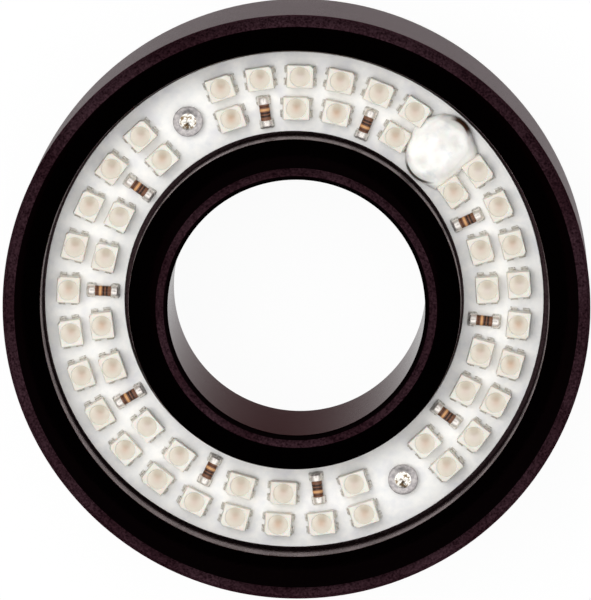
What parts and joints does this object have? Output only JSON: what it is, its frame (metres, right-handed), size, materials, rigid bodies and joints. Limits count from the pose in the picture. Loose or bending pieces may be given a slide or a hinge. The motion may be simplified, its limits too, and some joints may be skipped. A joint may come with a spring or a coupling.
{
  "type": "led ring light",
  "caption": "Low cylindrical ring light with a lens bore and an open forward channel that holds a ring board of white LEDs.",
  "frame": {"origin": "middle of the flat back face, on the axis of the lens bore", "axes": "+Z along the bore axis out of the light-emitting front; -Y towards the cable inlet in the side wall; +X to the right when the front is looked at with +Y up"},
  "size_m": [0.0684, 0.0684, 0.023],
  "materials": {
    "anodised_housing": "satin black anodised",
    "board": "white solder mask, satin",
    "led_package": "cream white, satin",
    "silicone": "white, smooth, slightly glossy",
    "screw": "bright turned steel",
    "grommet_rubber": "matte black"
  },
  "bodies": {
    "root": {"housing": "anodised_housing", "led_board": "board", "cable_grommet": "grommet_rubber", "board_screw_1": "screw", "board_screw_2": "screw", "wire_sealant": "silicone", "led_outer_01": "led_package", "led_outer_02": "led_package", "led_outer_03": "led_package", "led_outer_04": "led_package", "led_outer_05": "led_package", "led_outer_06": "led_package", "led_outer_07": "led_package", "led_outer_08": "led_package", "led_outer_09": "led_package", "led_outer_10": "led_package", "led_outer_11": "led_package", "led_outer_12": "led_package", "led_outer_13": "led_package", "led_outer_14": "led_package", "led_outer_15": "led_package", "led_outer_16": "led_package", "led_outer_17": "led_package", "led_outer_18": "led_package", "led_outer_19": "led_package", "led_outer_20": "led_package", "led_outer_21": "led_package", "led_outer_22": "led_package", "led_outer_23": "led_package", "led_outer_24": "led_package", "led_outer_25": "led_package", "led_outer_26": "led_package", "led_outer_27": "led_package", "led_outer_28": "led_package", "led_outer_29": "led_package", "led_outer_30": "led_package", "led_inner_01": "led_package", "led_inner_02": "led_package", "led_inner_03": "led_package", "led_inner_04": "led_package", "led_inner_05": "led_package", "led_inner_06": "led_package", "led_inner_07": "led_package", "led_inner_08": "led_package", "led_inner_09": "led_package", "led_inner_10": "led_package", "led_inner_11": "led_package", "led_inner_12": "led_package", "led_inner_13": "led_package", "led_inner_14": "led_package", "led_inner_15": "led_package", "led_inner_16": "led_package", "led_inner_17": "led_package", "led_inner_18": "led_package", "led_inner_19": "led_package", "led_inner_20": "led_package"}
  },
  "joints": []
}
